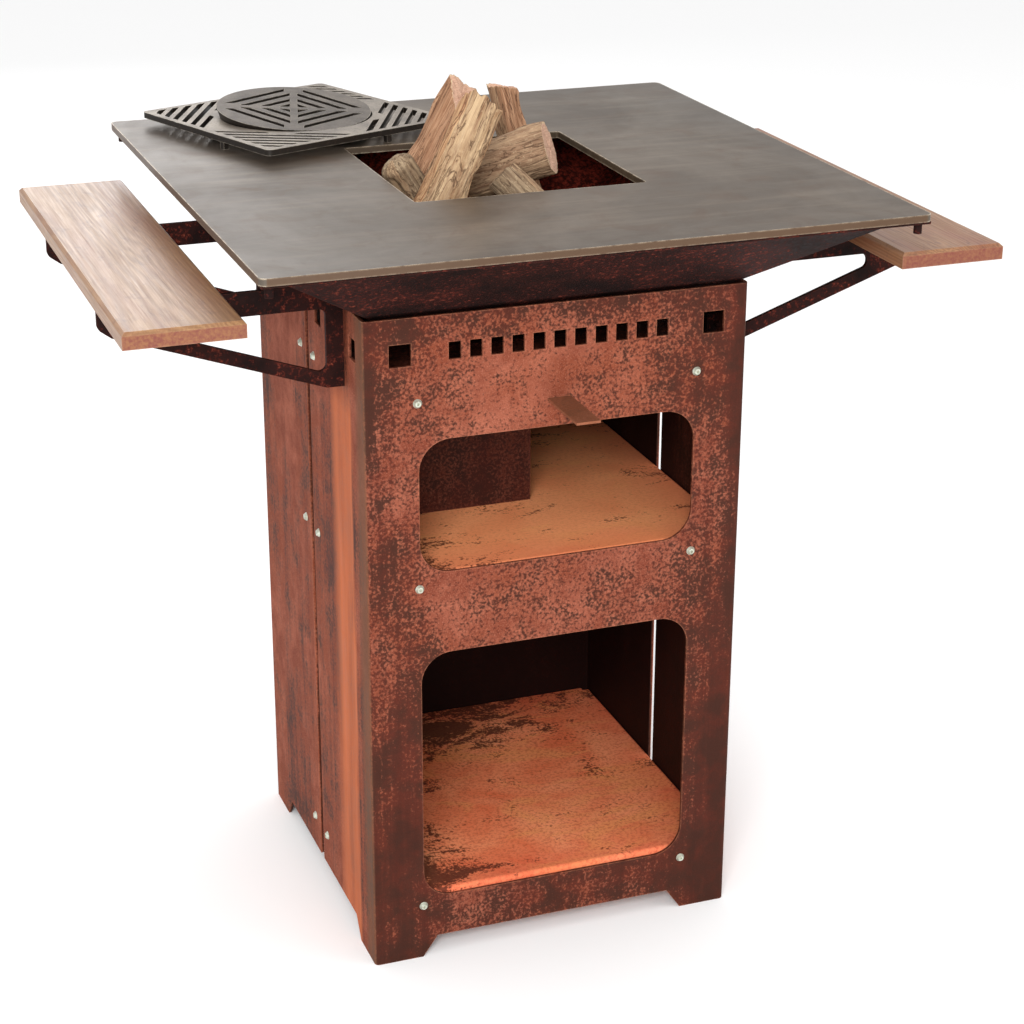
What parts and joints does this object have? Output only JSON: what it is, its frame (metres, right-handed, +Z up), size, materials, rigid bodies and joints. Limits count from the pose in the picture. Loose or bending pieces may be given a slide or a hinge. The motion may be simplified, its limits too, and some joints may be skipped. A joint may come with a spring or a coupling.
{
  "type": "fire pit with grate",
  "caption": "Square rusted-steel fire pit on a box pedestal with shelves, inverted pyramid bowl, flat griddle plate, loose cooking grate and wooden side boards.",
  "frame": {"origin": "floor level under the centre of the pedestal, midway between its four feet", "axes": "+Z up, -Y towards the front with the two windows, +X to the right seen from the front"},
  "size_m": [1.1, 0.8909, 1.1014],
  "materials": {
    "rusted_steel": "matte rusted weathering steel",
    "dark_steel": "matte heat-darkened rusted steel",
    "griddle_steel": "oiled, satin",
    "grate_iron": "worn, matte",
    "board_wood": "oiled hardwood",
    "firewood": "rough split wood",
    "screw_steel": "satin"
  },
  "bodies": {
    "pedestal": {"front_shell": "rusted_steel", "rear_shell": "rusted_steel", "top_deck": "rusted_steel", "middle_shelf": "rusted_steel", "bottom_shelf": "rusted_steel", "front_screws": "screw_steel", "front_nuts": "screw_steel", "rear_screws": "screw_steel", "rear_nuts": "screw_steel", "left_screws": "screw_steel", "left_nuts": "screw_steel", "right_screws": "screw_steel", "right_nuts": "screw_steel", "inner_divider": "rusted_steel", "divider_screws": "screw_steel", "divider_nuts": "screw_steel", "damper_rail_left": "dark_steel", "damper_rail_right": "dark_steel", "left_board": "board_wood", "right_board": "board_wood", "bracket_left_front": "dark_steel", "bracket_left_rear": "dark_steel", "bracket_right_front": "dark_steel", "bracket_right_rear": "dark_steel", "bracket_keys": "dark_steel", "board_cleats": "dark_steel", "board_screws": "screw_steel"},
    "damper": {"damper_plate": "dark_steel", "damper_pull": "rusted_steel", "damper_rivets": "screw_steel"},
    "bowl": {"bowl_floor": "dark_steel", "bowl_wall_front": "dark_steel", "bowl_wall_right": "dark_steel", "bowl_wall_rear": "dark_steel", "bowl_wall_left": "dark_steel", "bowl_rim": "dark_steel"},
    "ember_grate": {"ember_grate": "grate_iron", "ember_legs": "grate_iron"},
    "firewood": {"log_1": "firewood", "log_2": "firewood", "log_3": "firewood", "log_4": "firewood", "log_5": "firewood", "log_6": "firewood", "log_7": "firewood", "log_8": "firewood", "log_9": "firewood"},
    "griddle": {"griddle_plate": "griddle_steel", "griddle_studs": "griddle_steel"},
    "cooking_grate": {"grate_frame": "grate_iron"},
    "grate_disc": {"grate_insert": "grate_iron"}
  },
  "joints": [
    {"name": "damper_slide", "type": "slide", "parent": "pedestal", "child": "damper", "axis": [0, -1, 0], "range_m": [0, 0.06]},
    {"name": "bowl_lift", "type": "slide", "parent": "pedestal", "child": "bowl", "axis": [0, 0, 1], "range_m": [0, 0.25]},
    {"name": "ember_grate_lift", "type": "slide", "parent": "bowl", "child": "ember_grate", "axis": [0, 0, 1], "range_m": [0, 0.3]},
    {"name": "firewood_lift", "type": "slide", "parent": "ember_grate", "child": "firewood", "axis": [0, 0, 1], "range_m": [0, 0.35]},
    {"name": "griddle_lift", "type": "slide", "parent": "bowl", "child": "griddle", "axis": [0, 0, 1], "range_m": [0, 0.25]},
    {"name": "cooking_grate_lift", "type": "slide", "parent": "griddle", "child": "cooking_grate", "axis": [0, 0, 1], "range_m": [0, 0.25]},
    {"name": "grate_disc_lift", "type": "slide", "parent": "cooking_grate", "child": "grate_disc", "axis": [0, 0, 1], "range_m": [0, 0.2]}
  ]
}
